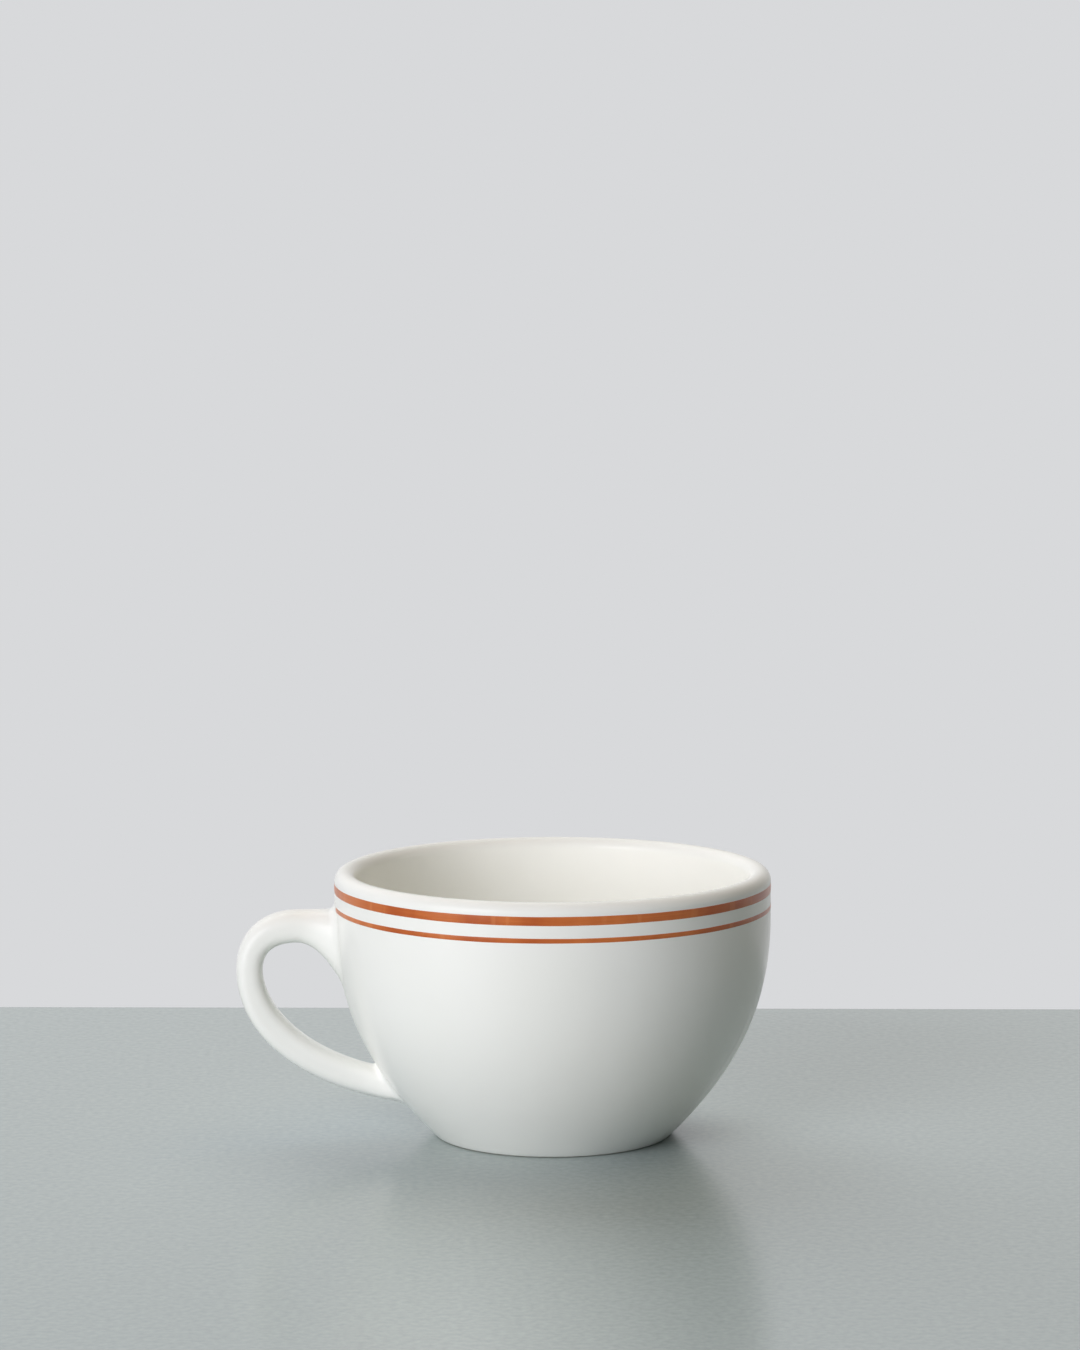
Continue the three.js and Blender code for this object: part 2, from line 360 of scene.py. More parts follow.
def neck_stations(count):
    """Level top, underside falling to the wall as a parabola of the distance left to the arch."""
    buried = np.linspace(-ROOT_DEPTH, 0, ROOT_COUNT)
    out = np.concatenate([buried[:-1], np.linspace(0, neck_length, count)[:-1]])
    spread = np.clip(1 - out / neck_length, 0, 1) ** 2
    middle = np.stack([rim_radius + out, neck_end[1] - spread * upper_flare_drop / 2], axis=1)
    axis = np.tile([0.0, 1.0], (len(out), 1))
    thickness = top_thickness + spread * upper_flare_drop
    return middle, axis, thickness, top_depth + spread * upper_flare_depth


neck = neck_stations(NECK_COUNT)
print(f"neck: {len(neck[0])} stations, {neck[2].max():.1f} mm thick at the wall")

# %% [markdown]
# ### The arch
#
# The arch turns from level to straight down. Part of a circle would look stiff, so it is a cubic
# Bezier curve that is fuller in the middle of its turn. A smooth step eases the section from the
# neck's size to the bow's, without a visible start or end.

# %% Stations of the arch
ARCH_COUNT = 64


def smooth(share):
    """Smoothstep: 3s^2 - 2s^3 of the share held between 0 and 1."""
    share = np.clip(share, 0, 1)
    return share**2 * (3 - 2 * share)


def arch_stations(count):
    """Cubic Bezier from level to straight down, its section easing from the neck's to the bow's."""
    share = np.linspace(0, 1, count)[:-1]
    line = [
        neck_end,
        (neck_end[0] + (bow_point[0] - neck_end[0]) * arch_fullness, neck_end[1]),
        (bow_point[0], bow_point[1] + (neck_end[1] - bow_point[1]) * arch_fullness),
        bow_point,
    ]
    way, blend = cubic_way(line, share), smooth(share)
    axis = np.stack([-way[:, 1], way[:, 0]], axis=1)
    thickness = top_thickness + (bow_thickness - top_thickness) * blend
    return cubic(line, share), axis, thickness, top_depth + (bow_depth - top_depth) * blend


arch = arch_stations(ARCH_COUNT)
print(f"arch: {len(arch[0])} stations, {arch[2].min():.1f} mm thick at the bow")

# %% [markdown]
# ### The arm
#
# The arm falls from the bow and sweeps back to the wall, where it arrives at a shallow slope and
# spreads sideways for a wider hold. It is one more cubic Bezier curve. How much it spreads depends
# on the length that is left to the wall, so that length is summed up backwards along the curve.

# %% Stations of the arm
lower_flare_depth, lower_flare_length = 2.4, 9.0
ARM_COUNT = 110
# The section reaches the arm's own size half way along, so it eases twice as fast.
ARM_EASE = 2


def arm_stations(count):
    """Cubic Bezier back to the seat on the wall, spreading sideways near it, then into the wall."""
    share = np.linspace(0, 1, count)
    line = [bow_point, bow_point - [0, bow_pull], seat + arm_way * arm_pull, seat]
    middle, way, blend = cubic(line, share), cubic_way(line, share), smooth(ARM_EASE * share)
    steps = np.linalg.norm(np.diff(middle, axis=0), axis=1)
    left = np.concatenate([np.cumsum(steps[::-1])[::-1], [0.0]])
    spread = np.clip(1 - left / lower_flare_length, 0, 1) ** 2
    axis = np.stack([-way[:, 1], way[:, 0]], axis=1)
    thickness = bow_thickness + (arm_thickness - bow_thickness) * blend
    depth = bow_depth + (arm_depth - bow_depth) * blend + spread * lower_flare_depth
    buried = np.linspace(0, ROOT_DEPTH, ROOT_COUNT)[1:, None]
    return (
        np.vstack([middle, seat - arm_way * buried]),
        np.pad(axis, [(0, len(buried)), (0, 0)], mode="edge"),
        np.pad(thickness, (0, len(buried)), mode="edge"),
        np.pad(depth, (0, len(buried)), mode="edge"),
    )


arm = arm_stations(ARM_COUNT)
stations = [np.concatenate(parts) for parts in zip(neck, arch, arm)]
print(f"{len(stations[0])} stations, bow at radius {stations[0][:, 0].max():.2f} mm")

# %% [markdown]
# ### The section
#
# The section is an oval with fuller shoulders than an ellipse has, as a mould that parts in the
# middle gives it. That is a superellipse: the cosine and the sine of the turn are raised to a power
# below one. Points with the same number in every section form a rail along the handle.

# %% Carry the oval along the line
SECTION_COUNT = 96
SECTION_POWER = 2 / 2.7
section_turn = np.arange(SECTION_COUNT) / SECTION_COUNT * 2 * np.pi


def sections(parts):
    """At each station: middle + axis a |cos|^p + sideways b |sin|^p, with the signs kept."""
    middle, axis, thickness, depth = parts
    wave_in = np.sign(np.cos(section_turn)) * np.abs(np.cos(section_turn)) ** SECTION_POWER
    wave_side = np.sign(np.sin(section_turn)) * np.abs(np.sin(section_turn)) ** SECTION_POWER
    in_plane = thickness[:, None] / 2 * wave_in
    plane = middle[:, None, :] + axis[:, None, :] * in_plane[..., None]
    side = depth[:, None] / 2 * wave_side
    return np.stack([axis_x - plane[..., 0], side, plane[..., 1]], axis=-1)


rails = sections(stations)
print(f"{rails.shape[1]} rails, {np.ptp(rails[..., 1]):.1f} mm from side to side at the widest")

# %% [markdown]
# ### The cut ends
#
# The maker trims both ends of the loop to the bowl's curve. A Boolean modifier would cut them too,
# but it leaves slivers along the cut. Here every rail is followed to the place where it is a set
# depth inside the wall, and the rows of the mesh are spaced afresh between those places. The cut
# then follows the bowl by itself.

# %% Cut the handle off just inside the wall
SUNK_ROOT = 2.0
HANDLE_ROWS = 230


def wall_distance(points):
    """Radius beyond the wall at the same height, times the cosine of the wall's lean there."""
    radius = np.hypot(points[..., 0] - axis_x, points[..., 1])
    lean = np.gradient(fine_outer[:, 0], fine_outer[:, 1])
    wall = np.interp(points[..., 2], fine_outer[:, 1], fine_outer[:, 0])
    slope = np.interp(points[..., 2], fine_outer[:, 1], lean)
    return (radius - wall) / np.sqrt(1 + slope**2)


def crossing(gap, height):
    """Row number, with its fraction, where each rail first rises to that height off the wall."""
    column = np.arange(gap.shape[1])
    after = np.argmax(gap >= height, axis=0)
    low, high = gap[after - 1, column], gap[after, column]
    return after - 1 + (height - low) / (high - low)


def between_rows(grid, row):
    """Points of the grid at fractional row numbers, straight between the two nearest rows."""
    before = np.clip(np.floor(row).astype(int), 0, len(grid) - 2)
    share = (row - before)[..., None]
    column = np.arange(grid.shape[1])
    return grid[before, column] * (1 - share) + grid[before + 1, column] * share


rail_gap = wall_distance(rails)
rail_start = crossing(rail_gap, -SUNK_ROOT)
rail_end = len(rails) - 1 - crossing(rail_gap[::-1], -SUNK_ROOT)
spacing = np.linspace(0, 1, HANDLE_ROWS)[:, None]
trimmed = between_rows(rails, rail_start + (rail_end - rail_start) * spacing)
handle = closed_skin("cast_handle", trimmed)
settle(handle, "handle")

# %% [markdown]
# ## The joints of slip
#
# Slip is clay stirred to cream. It glues the handle to the bowl, and the maker wipes it with a wet
# finger into a small hollow fillet all round each root. The fillet starts on the wall, so the first
# thing to know is which way the wall faces at any point, and how to move a point onto it.

# %% Which way the wall faces
def wall_normal(points):
    """Unit gradient of radius minus wall radius: cosine and sine of the turn, then minus slope."""
    lean = np.gradient(fine_outer[:, 0], fine_outer[:, 1])
    slope = np.interp(points[:, 2], fine_outer[:, 1], lean)
    across = points[:, :2] - [axis_x, 0.0]
    across = across / np.linalg.norm(across, axis=1, keepdims=True)
    return np.column_stack([across, -slope]) / np.sqrt(1 + slope**2)[:, None]


def onto_wall(points, height):
    """Points moved along the wall's normal until they stand that high off the wall."""
    return points + wall_normal(points) * (height - wall_distance(points))[:, None]


seat_normal = wall_normal(np.array([[axis_x - seat[0], 0.0, seat[1]]]))[0]
seat_fall = math.degrees(math.asin(-seat_normal[2]))
print(f"at the arm's seat the wall looks {seat_fall:.0f} degrees down")

# %% [markdown]
# Under the glaze the wall, the fillet and the handle look like one piece, so the fillet has to
# leave both without a crease. A quadratic Bezier curve does that: it runs from the wall to the
# handle, and its middle point is the corner where the handle's own line would have met the wall.
# The hidden side of the ring is sunk in the clay.

# %% Fillets round both roots
SLIP_SPREAD, SLIP_HEIGHT = 2.2, 1.8
SUNK = 0.7
SKIN = 0.01
TANGENT_STEP = 0.2
SLIP_COUNT = 22


def unit(vectors):
    """Vectors divided by their own lengths."""
    return vectors / np.linalg.norm(vectors, axis=1, keepdims=True)


def slip_fillet(name, root):
    """Bezier (1-s)^2 wall + 2s(1-s) corner + s^2 handle on every rail, closed under the skin."""
    grid = sections(root)
    gap = wall_distance(grid)
    on_handle = between_rows(grid, crossing(gap, SLIP_HEIGHT))
    further = between_rows(grid, crossing(gap, SLIP_HEIGHT + TANGENT_STEP))
    fall = unit(on_handle - further)
    normal = wall_normal(on_handle)
    corner = on_handle - fall * (SLIP_HEIGHT / (fall * normal).sum(1))[:, None]
    corner = onto_wall(corner, 0.0)
    normal = wall_normal(corner)
    away = unit(np.cross(np.roll(corner, -1, 0) - np.roll(corner, 1, 0), normal))
    away = away * np.sign(((corner - corner.mean(0)) * away).sum())
    on_wall = onto_wall(corner + away * SLIP_SPREAD, SKIN)
    proud = unit(away - fall * (away * fall).sum(1, keepdims=True))
    on_handle = on_handle + proud * SKIN
    share = (1 - np.cos(np.linspace(0, np.pi, SLIP_COUNT)))[:, None, None] / 2
    visible = (1 - share) ** 2 * on_wall + 2 * share * (1 - share) * corner + share**2 * on_handle
    hidden = corner - (normal + away) * SUNK
    return closed_skin(name, np.concatenate([visible, hidden[None]]), ring=True)


upper_slip = slip_fillet("upper_slip_fillet", neck)
lower_slip = slip_fillet("lower_slip_fillet", [part[::-1] for part in arm])
settle(upper_slip, "upper_slip_joint")
settle(lower_slip, "lower_slip_joint")

# %% [markdown]
# ## The rust bands
#
# The bands are enamel laid with a loaded brush while the cup turns on a wheel. They lie on the
# upright stretch under the lip and are only a few hundredths of a millimetre thick. They could be
# painted in the bowl's material, but a thin film of its own gives each band a real edge. The edges
# wander a little, as a hand-held brush does. The broad band goes all the way round.

# %% Lay the broad band on the wall
FILM = 0.04
FILM_SHOULDER = 0.8 * FILM
FILM_ROOT = 0.4
BAND_WANDER = 0.04
BROAD_SEED, NARROW_SEED, TOP_EDGE_SEED = 1, 3, 5
# Eight corners of the film's loop: share of the band's height, and rise above the wall.
LOOP_SHARE = np.array([0.0, 0.0, 0.12, 0.35, 0.65, 0.88, 1.0, 1.0])
LOOP_RISE = np.array(
    [-FILM_ROOT, 0.0, FILM_SHOULDER, FILM, FILM, FILM_SHOULDER, 0.0, -FILM_ROOT]
)
# Three waves of the brush: how many there are round the cup, and the phase and share of each.
WAVES_ROUND = np.array([5, 11, 23])
WAVE_PHASE = np.array([1.0, 2.3, 3.7])
WAVE_SHARE = np.array([0.5, 0.3, 0.2])
broad_low, broad_high = [corner[2] for corner in box_mm("broad_band")]


def wander(angle, seed):
    """Sum of three sine waves round the cup, the same in each run, at most one in size."""
    return (np.sin(WAVES_ROUND * angle[:, None] + seed * WAVE_PHASE) * WAVE_SHARE).sum(1)


def band_grid(angle, low, high, seed):
    """A flat loop carried round the wall: film outside, root sunk in the wall, edges wandering."""
    bottom = low + BAND_WANDER * (1 + wander(angle, seed))
    top = high - BAND_WANDER * (1 + wander(angle, seed + TOP_EDGE_SEED))
    height = bottom[:, None] + (top - bottom)[:, None] * LOOP_SHARE
    radius = rim_radius + np.repeat(LOOP_RISE[None], len(angle), axis=0)
    return np.stack([
        axis_x + radius * np.cos(angle)[:, None],
        radius * np.sin(angle)[:, None],
        height,
    ], axis=-1)


broad_loop = band_grid(turn, broad_low, broad_high, BROAD_SEED)
broad_band = closed_skin("broad_rust_band", broad_loop, ring=True)
settle(broad_band, "broad_band")

# %% [markdown]
# ### The narrow band
#
# The narrow band runs just below, at the height of the handle's upper root. The brush is lifted on
# each side of that root, so the band is an open arc with two round ends. It is the same loop on a
# shorter turn, and its height shrinks at both ends as a half ellipse does.

# %% The narrow band, lifted off at the handle
lift_half = 5.2
lift_angle = lift_half / rim_radius
BRUSH_END = 0.9
END_COUNT, ARC_COUNT = 12, 361
# The very tip keeps a little height, so that its faces don't collapse.
TIP_LIMIT = 0.999
narrow_low, narrow_high = [corner[2] for corner in box_mm("narrow_band")]


def narrow_grid():
    """The band's loop on an open arc, its height shrinking at each end as a half ellipse."""
    last = np.pi - lift_angle
    tip = BRUSH_END / rim_radius * (1 - np.cos(np.linspace(0, np.pi / 2, END_COUNT)))
    middle = np.linspace(-last + tip[-1], last - tip[-1], ARC_COUNT)
    angle = np.concatenate([-last + tip[:-1], middle, (last - tip[:-1])[::-1]])
    grid = band_grid(angle, narrow_low, narrow_high, NARROW_SEED)
    left = (last - np.abs(angle)) * rim_radius
    full = np.sqrt(1 - np.clip(1 - left / BRUSH_END, 0, TIP_LIMIT) ** 2)
    centre = grid[..., 2].mean(1, keepdims=True)
    grid[..., 2] = centre + (grid[..., 2] - centre) * full[:, None]
    return grid


narrow_band = closed_skin("narrow_rust_band", narrow_grid())
settle(narrow_band, "narrow_band")

# %% [markdown]
# ## Glaze, enamel and bare clay
#
# Colours are written as on a screen and turned to linear light by one function. One small function
# adds a node. All patterns read Object coordinates, in metres, so they need no unwrapping and run
# on across the joints. A pattern's scale is one over the real width of its features.

# %% Helpers for materials
# Sockets of the Mix node, first when it mixes colours and then when it mixes numbers.
SHARE, FIRST_COLOUR, SECOND_COLOUR, MIXED_COLOUR = 0, 6, 7, 2
FIRST_NUMBER, SECOND_NUMBER, MIXED_NUMBER = 2, 3, 0


def linear(code):
    """sRGB hex to linear light: c/12.92 below 0.04045, else ((c + 0.055)/1.055)^2.4."""
    values = [int(code[i:i + 2], 16) / 255 for i in (1, 3, 5)]
    return [v / 12.92 if v <= 0.04045 else ((v + 0.055) / 1.055) ** 2.4 for v in values] + [1.0]


def per_metre(size_mm):
    """A noise scale whose features are about that many millimetres wide."""
    return 1 / (size_mm * MM)


def add(tree, kind, inputs=None, **settings):
    """A node with its settings. Each input is a value, or another node's output to link from."""
    node = tree.nodes.new(kind)
    for name, value in settings.items():
        setattr(node, name, value)
    for name, value in (inputs or {}).items():
        if isinstance(value, bpy.types.NodeSocket):
            tree.links.new(value, node.inputs[name])
        else:
            node.inputs[name].default_value = value
    return node


def blank_material(name):
    """A material whose node tree is empty, and that tree."""
    material = bpy.data.materials.new(name)
    material.use_nodes = True
    material.node_tree.nodes.clear()
    return material, material.node_tree


print("mid grey #808080 in linear light:", round(linear("#808080")[0], 3))

# %% [markdown]
# ### White glaze
#
# The body is white stoneware under a clear, slightly warm glaze, fired to a soft gloss. The glaze
# levels itself while it is molten, but it never lies quite even: it swells and thins over a
# centimetre or two, which makes highlights waver, and its gloss and warmth vary by a breath. A
# noise pattern drives each of these. The cup is dipped whole, so bowl, joints and handle share one
# glaze.

# %% White glaze
CLOUD_MM = 30
SHEEN_MM = 18
WAVER_MM = 14
WAVER_DETAIL = 1.0
SWELL_STRENGTH, SWELL_MM = 0.4, 0.4
GLAZE_IOR = 1.5
# A bright glaze has a roughness near 0.1. This one is a little softer.
GLAZE_SMOOTHEST, GLAZE_ROUGHEST = 0.16, 0.26


def white_glaze(name, light, dark):
    """White glaze whose colour drifts between two near whites and whose gloss drifts as well."""
    material, tree = blank_material(name)
    place = add(tree, "ShaderNodeTexCoord").outputs["Object"]
    cloud = add(tree, "ShaderNodeTexNoise", {"Vector": place, "Scale": per_metre(CLOUD_MM)})
    tint = add(
        tree,
        "ShaderNodeMix",
        {SHARE: cloud.outputs["Fac"], FIRST_COLOUR: linear(light), SECOND_COLOUR: linear(dark)},
        data_type="RGBA",
    )
    sheen = add(tree, "ShaderNodeTexNoise", {"Vector": place, "Scale": per_metre(SHEEN_MM)})
    gloss = add(
        tree,
        "ShaderNodeMapRange",
        {"Value": sheen.outputs["Fac"], "To Min": GLAZE_SMOOTHEST, "To Max": GLAZE_ROUGHEST},
    )
    waver = add(
        tree,
        "ShaderNodeTexNoise",
        {"Vector": place, "Scale": per_metre(WAVER_MM), "Detail": WAVER_DETAIL},
    )
    swell = add(
        tree,
        "ShaderNodeBump",
        {
            "Height": waver.outputs["Fac"],
            "Strength": SWELL_STRENGTH,
            "Distance": SWELL_MM * MM,
        },
    )
    coat = add(
        tree,
        "ShaderNodeBsdfPrincipled",
        {
            "Base Color": tint.outputs[MIXED_COLOUR],
            "Roughness": gloss.outputs["Result"],
            "Normal": swell.outputs["Normal"],
            "IOR": GLAZE_IOR,
        },
    )
    add(tree, "ShaderNodeOutputMaterial", {"Surface": coat.outputs["BSDF"]})
    return material


# Fired glaze gives the eye a soft warm white with a broad, gentle highlight.
glaze = white_glaze("clear_glaze_on_white_stoneware", "#F7F7F2", "#F4F4ED")
for piece in (bowl, handle, upper_slip, lower_slip):
    piece.data.materials.append(glaze)
print("glazed:", glaze.name)

# %% [markdown]
# ### The dry foot
#
# A cup that stood in the kiln on wet glaze would be welded to the shelf, so the face that it stands
# on is wiped clean. The bare clay is matt, sandy to the touch and a little browner than the glaze.
# It is the second material of the bowl, given to the faces that lie lower than a fraction of a
# millimetre.

# %% Bare clay under the foot
DRY_HEIGHT = 0.2
# Real grains are finer, but would not show.
GRAIN_MM = 0.7
GRAIN_STRENGTH, GRAIN_DEPTH_MM = 0.6, 0.06
CLAY_ROUGHNESS = 0.85


def bare_clay():
    """Matt clay: two sandy whites mixed by a fine grain that also roughens the surface."""
    material, tree = blank_material("dry_clay_foot")
    place = add(tree, "ShaderNodeTexCoord").outputs["Object"]
    grain = add(tree, "ShaderNodeTexNoise", {"Vector": place, "Scale": per_metre(GRAIN_MM)})
    tint = add(
        tree,
        "ShaderNodeMix",
        {
            SHARE: grain.outputs["Fac"],
            FIRST_COLOUR: linear("#EBE4D6"),
            SECOND_COLOUR: linear("#D8CDB9"),
        },
        data_type="RGBA",
    )
    rough = add(
        tree,
        "ShaderNodeBump",
        {
            "Height": grain.outputs["Fac"],
            "Strength": GRAIN_STRENGTH,
            "Distance": GRAIN_DEPTH_MM * MM,
        },
    )
    clay = add(
        tree,
        "ShaderNodeBsdfPrincipled",
        {
            "Base Color": tint.outputs[MIXED_COLOUR],
            "Normal": rough.outputs["Normal"],
            "Roughness": CLAY_ROUGHNESS,
        },
    )
    add(tree, "ShaderNodeOutputMaterial", {"Surface": clay.outputs["BSDF"]})
    return material


# Bare fired clay gives the eye a dull, sandy ring with no highlight at all.
bowl.data.materials.append(bare_clay())
centres = np.empty(3 * len(bowl.data.polygons))
bowl.data.polygons.foreach_get("center", centres)
dry = centres.reshape(-1, 3)[:, 2] < DRY_HEIGHT * MM
bowl.data.polygons.foreach_set("material_index", dry.astype(int))
print(f"dry foot: {dry.sum()} faces")

# %% [markdown]
# ### Rust enamel
#
# Iron oxide in a clear flux, laid with a brush on the turning cup. Where the brush carried more it
# is a deep red brown, and where it ran dry a paler orange. The brush is as wide as the band, so the
# colour changes from one stretch of the band to the next and hardly from its top to its bottom: the
# pattern is stretched along the height. Fine hair lines run along the stroke. A ramp between two
# rusts turns the brush's load to colour.

# %% Colour of a brush stroke
STRETCH_MM = 11
STRETCH_DETAIL = 3.0
HAIR_MM = 0.35
HAIR_SHARE = 0.22
STRETCHED_ROUND = (0.04, 0.04, 1.0)
# Values of the load at which the stroke is palest and deepest.
PALEST_AT, DEEPEST_AT = 0.36, 0.62


def stroke_colour(tree, place, upright):
    """Depth of colour: noise along the stroke mixed with hair lines, then a ramp of two rusts."""
    stroke = add(
        tree,
        "ShaderNodeTexNoise",
        {"Vector": upright, "Scale": per_metre(STRETCH_MM), "Detail": STRETCH_DETAIL},
    )
    along = add(tree, "ShaderNodeMapping", {"Vector": place, "Scale": STRETCHED_ROUND})
    hair = add(
        tree,
        "ShaderNodeTexNoise",
        {"Vector": along.outputs["Vector"], "Scale": per_metre(HAIR_MM)},
    )
    load = add(
        tree,
        "ShaderNodeMix",
        {
            SHARE: HAIR_SHARE,
            FIRST_NUMBER: stroke.outputs["Fac"],
            SECOND_NUMBER: hair.outputs["Fac"],
        },
    )
    depth = add(tree, "ShaderNodeValToRGB", {"Fac": load.outputs[MIXED_NUMBER]})
    palest, deepest = depth.color_ramp.elements
    palest.position, palest.color = PALEST_AT, linear("#CE7234")
    deepest.position, deepest.color = DEEPEST_AT, linear("#B4551C")
    return depth.outputs["Color"]


print(f"the stroke changes over about {STRETCH_MM} mm, its hair lines are {HAIR_MM} mm apart")

# %% [markdown]
# Short pale marks show where two strokes meet. They come from a second, smaller noise, of which
# only the highest peaks count. The enamel melts into the glaze in the kiln, so it ends up about as
# glossy. A separate image could hold all of this, but then the bands would need unwrapping.

# %% Rust enamel
MARK_MM = 2.2
STRETCHED_UP = (1.0, 1.0, 0.15)
# Values of the noise between which a mark appears, and how pale the mark gets.
MARK_START, MARK_FULL, MARK_STRENGTH = 0.64, 0.74, 0.32
ENAMEL_ROUGHNESS, ENAMEL_IOR = 0.28, 1.5


def rust_enamel():
    """The stroke's colour, paler by a share where a noise pattern marks that two strokes meet."""
    material, tree = blank_material("rust_iron_enamel")
    place = add(tree, "ShaderNodeTexCoord").outputs["Object"]
    tall = add(tree, "ShaderNodeMapping", {"Vector": place, "Scale": STRETCHED_UP})
    upright = tall.outputs["Vector"]
    mark = add(
        tree,
        "ShaderNodeTexNoise",
        {"Vector": upright, "Scale": per_metre(MARK_MM), "Detail": 0.0},
    )
    meeting = add(
        tree,
        "ShaderNodeMapRange",
        {
            "Value": mark.outputs["Fac"],
            "From Min": MARK_START,
            "From Max": MARK_FULL,
            "To Min": 0.0,
            "To Max": MARK_STRENGTH,
        },
    )
    rust = add(
        tree,
        "ShaderNodeMix",
        {
            SHARE: meeting.outputs["Result"],
            FIRST_COLOUR: stroke_colour(tree, place, upright),
            SECOND_COLOUR: linear("#D9894E"),
        },
        data_type="RGBA",
    )
    coat = add(
        tree,
        "ShaderNodeBsdfPrincipled",
        {
            "Base Color": rust.outputs[MIXED_COLOUR],
            "Roughness": ENAMEL_ROUGHNESS,
            "IOR": ENAMEL_IOR,
        },
    )
    add(tree, "ShaderNodeOutputMaterial", {"Surface": coat.outputs["BSDF"]})
    return material


# Iron enamel gives the eye a warm orange brown that changes from stretch to stretch, softly glossy.
enamel = rust_enamel()
for piece in (broad_band, narrow_band):
    piece.data.materials.append(enamel)
print("enamelled:", enamel.name)

# %% [markdown]
# ## Table, light and camera
#
# A plain pale slab with a satin finish ends behind the cup, and a pale background shows beyond it.
# The slab is a box of eight points, made by the same helper as the cup.

# %% Table top
TABLE_REACH, TABLE_BACK, TABLE_THICK = 1500.0, 149.0, 30.0
TABLE_TURN = math.radians(-4.3)

along_edge = np.array([math.cos(TABLE_TURN), math.sin(TABLE_TURN), 0.0])
to_back = np.array([-math.sin(TABLE_TURN), math.cos(TABLE_TURN), 0.0])
sides = np.array([-TABLE_REACH, TABLE_REACH, TABLE_REACH, -TABLE_REACH])[:, None]
depths = np.array([-TABLE_REACH, -TABLE_REACH, TABLE_BACK, TABLE_BACK])[:, None]
outline = [axis_x, 0.0, 0.0] + along_edge * sides + to_back * depths
table_top = closed_skin("table_top", np.stack([outline - [0.0, 0.0, TABLE_THICK], outline]))

# %% [markdown]
# The satin matters: it mirrors the cup softly, so the shaded side of the bowl darkens the table in
# front of it. Two greys a shade apart, mixed by a fine speckle, keep the slab from looking like
# plain paper.

# %% Satin table
# The speckle of a real lacquered board is finer, but would not show.
SPECKLE_MM = 1.6
# A lacquer's IOR is near 1.5. A higher one makes the soft mirror image as strong as it has to be.
SATIN_ROUGHNESS, SATIN_IOR = 0.2, 1.8


def satin_table():
    """Satin lacquer: two greys mixed by a fine speckle, under one even gloss."""
    material, tree = blank_material("pale_grey_satin_table")
    place = add(tree, "ShaderNodeTexCoord").outputs["Object"]
    speckle = add(tree, "ShaderNodeTexNoise", {"Vector": place, "Scale": per_metre(SPECKLE_MM)})
    grey = add(
        tree,
        "ShaderNodeMix",
        {
            SHARE: speckle.outputs["Fac"],
            FIRST_COLOUR: linear("#B2BDBC"),
            SECOND_COLOUR: linear("#98A3A2"),
        },
        data_type="RGBA",
    )
    satin = add(
        tree,
        "ShaderNodeBsdfPrincipled",
        {
            "Base Color": grey.outputs[MIXED_COLOUR],
            "Roughness": SATIN_ROUGHNESS,
            "IOR": SATIN_IOR,
        },
    )
    add(tree, "ShaderNodeOutputMaterial", {"Surface": satin.outputs["BSDF"]})
    return material


# Satin lacquer gives the eye a cool even grey with a blurred mirror image under the cup.
table_top.data.materials.append(satin_table())
print("table:", table_top.data.materials[0].name)

# %% [markdown]
# The world has two colours. What the camera sees beyond the table, and what glossy surfaces mirror,
# is the pale wall. What lights the scene is a much dimmer room, so that the lamps do the modelling.

# %% Background
ROOM_STRENGTH, WALL_STRENGTH = 0.02, 1.0


def studio_world():
    """The wall where a ray is seen or mirrored, the room for every other ray."""
    world = bpy.data.worlds.new("studio")
    world.use_nodes = True
    tree = world.node_tree
    tree.nodes.clear()
    path = add(tree, "ShaderNodeLightPath")
    mirrored = add(
        tree,
        "ShaderNodeMath",
        {0: path.outputs["Is Glossy Ray"], 1: path.outputs["Is Transmission Ray"]},
        operation="MAXIMUM",
    )
    seen = add(
        tree,
        "ShaderNodeMath",
        {0: path.outputs["Is Camera Ray"], 1: mirrored.outputs[0]},
        operation="MAXIMUM",
    )
    room = add(
        tree, "ShaderNodeBackground", {"Color": linear("#F4F4F4"), "Strength": ROOM_STRENGTH}
    )
    wall = add(
        tree, "ShaderNodeBackground", {"Color": linear("#D8D9DB"), "Strength": WALL_STRENGTH}
    )
    both = add(
        tree,
        "ShaderNodeMixShader",
        {0: seen.outputs[0], 1: room.outputs[0], 2: wall.outputs[0]},
    )
    add(tree, "ShaderNodeOutputWorld", {"Surface": both.outputs[0]})
    return world


bpy.context.scene.world = studio_world()
print(f"world: wall at strength {WALL_STRENGTH}, room at strength {ROOM_STRENGTH}")

# %% [markdown]
# Large square lamps stand on a sphere round the cup. Most light comes from the front left. It is
# split in two: a key that only lights, and a weaker one beside it that the glaze also mirrors, so
# that the highlight stays soft and faint. Two lamps behind reach into the bowl and along the
# handle's top. They don't show in reflections either, because a lamp in the mirror of the lip would
# draw a hard line there. A warm one high on the right lights the inside's left and keeps the shaded
# side open.

# %% Lamps
LAMP_DISTANCE = 1500.0
# Name, azimuth and elevation in degrees, size in mm, watts, colour, and if the glaze mirrors it.
LAMPS = [
    ("front_softbox", -36, 18, 800, 14.8, "#FBFAFF", False),
    ("left_softbox", -50, 16, 1000, 5.2, "#FBFAFF", True),
    ("back_softbox", -172, 44, 1200, 13.2, "#F8FAFF", False),
    ("back_left_softbox", -150, 25, 900, 4.8, "#FCFDFF", False),
    ("right_softbox", 118, 66, 1000, 5.6, "#FFEDD0", False),
]


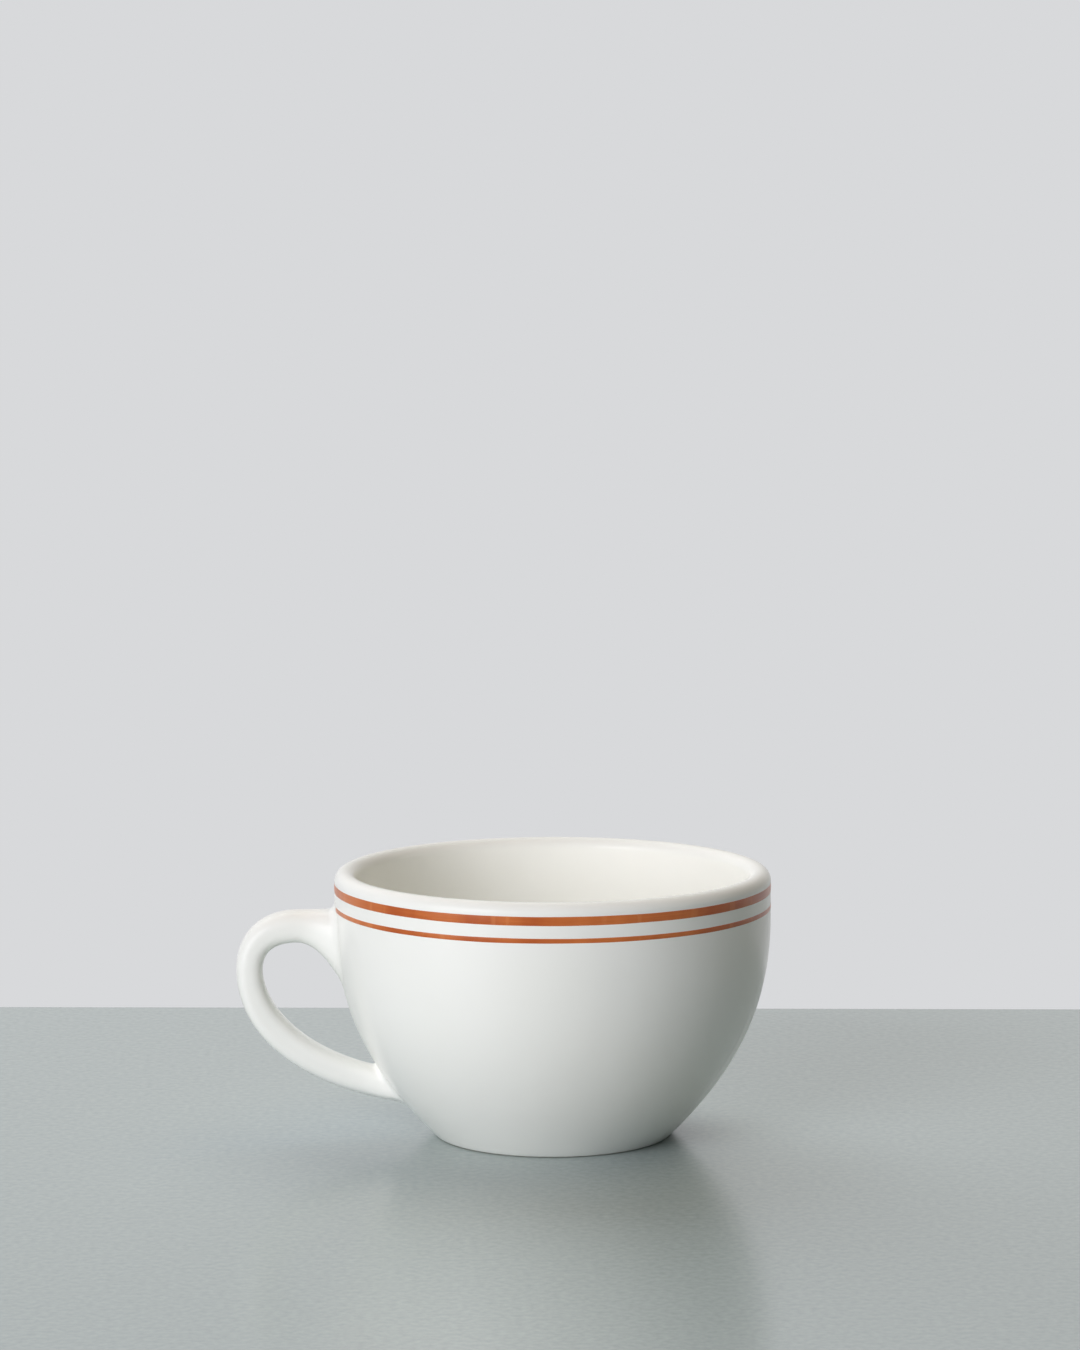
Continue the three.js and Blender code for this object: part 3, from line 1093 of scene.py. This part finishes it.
def soft_lamp(name, azimuth, elevation, size, watts, colour, mirrored):
    """A square area lamp on a sphere round the cup, turned to face the cup's middle."""
    a, e = math.radians(azimuth), math.radians(elevation)
    back = np.array([math.sin(a) * math.cos(e), -math.cos(a) * math.cos(e), math.sin(e)])
    data = bpy.data.lights.new(name, "AREA")
    data.size, data.energy, data.color = size * MM, watts, linear(colour)[:3]
    lamp = bpy.data.objects.new(name, data)
    lamp.location = (back * LAMP_DISTANCE + [axis_x, 0, cup_height / 2]) * MM
    lamp.rotation_mode = "QUATERNION"
    lamp.rotation_quaternion = Vector(back).to_track_quat("Z", "Y")
    lamp.visible_glossy = mirrored
    bpy.context.scene.collection.objects.link(lamp)
    print(f"{name}: {watts} W at azimuth {azimuth}, elevation {elevation} degrees")


for lamp_row in LAMPS:
    soft_lamp(*lamp_row)

# %% [markdown]
# The camera stands well back with a long lens and looks a little down into the cup. Its distance,
# height, pitch, pan and roll were fitted until the rim's ellipse, the bands, the handle and the
# foot fell where the photograph has them. The matrix applies them from right to left: roll about
# the view, pitch, then the turn round the cup, and last the move to the stand.

# %% Camera
CAMERA_DISTANCE, CAMERA_HEIGHT = 950.0, 212.9
CAMERA_TURN, CAMERA_PITCH = math.radians(-3), math.radians(6.417)
CAMERA_PAN, CAMERA_ROLL = math.radians(0.166), math.radians(-0.156)
FOCAL_PIXELS, FRAME_HEIGHT, SENSOR = 4191.0, 1350, 36.0

camera_data = bpy.data.cameras.new("camera")
camera_data.sensor_width = SENSOR
camera_data.lens = FOCAL_PIXELS * SENSOR / FRAME_HEIGHT
camera = bpy.data.objects.new("camera", camera_data)
stand = np.array([
    axis_x + CAMERA_DISTANCE * math.sin(CAMERA_TURN),
    -CAMERA_DISTANCE * math.cos(CAMERA_TURN),
    CAMERA_HEIGHT,
])
camera.matrix_world = (
    Matrix.Translation(stand * MM)
    @ Matrix.Rotation(CAMERA_TURN + CAMERA_PAN, 4, "Z")
    @ Matrix.Rotation(math.pi / 2 - CAMERA_PITCH, 4, "X")
    @ Matrix.Rotation(CAMERA_ROLL, 4, "Z")
)
bpy.context.scene.collection.objects.link(camera)
bpy.context.scene.camera = camera
bpy.context.scene.view_settings.view_transform = "Standard"
print(f"camera: lens {camera_data.lens:.1f} mm, {CAMERA_DISTANCE:.0f} mm from the cup")
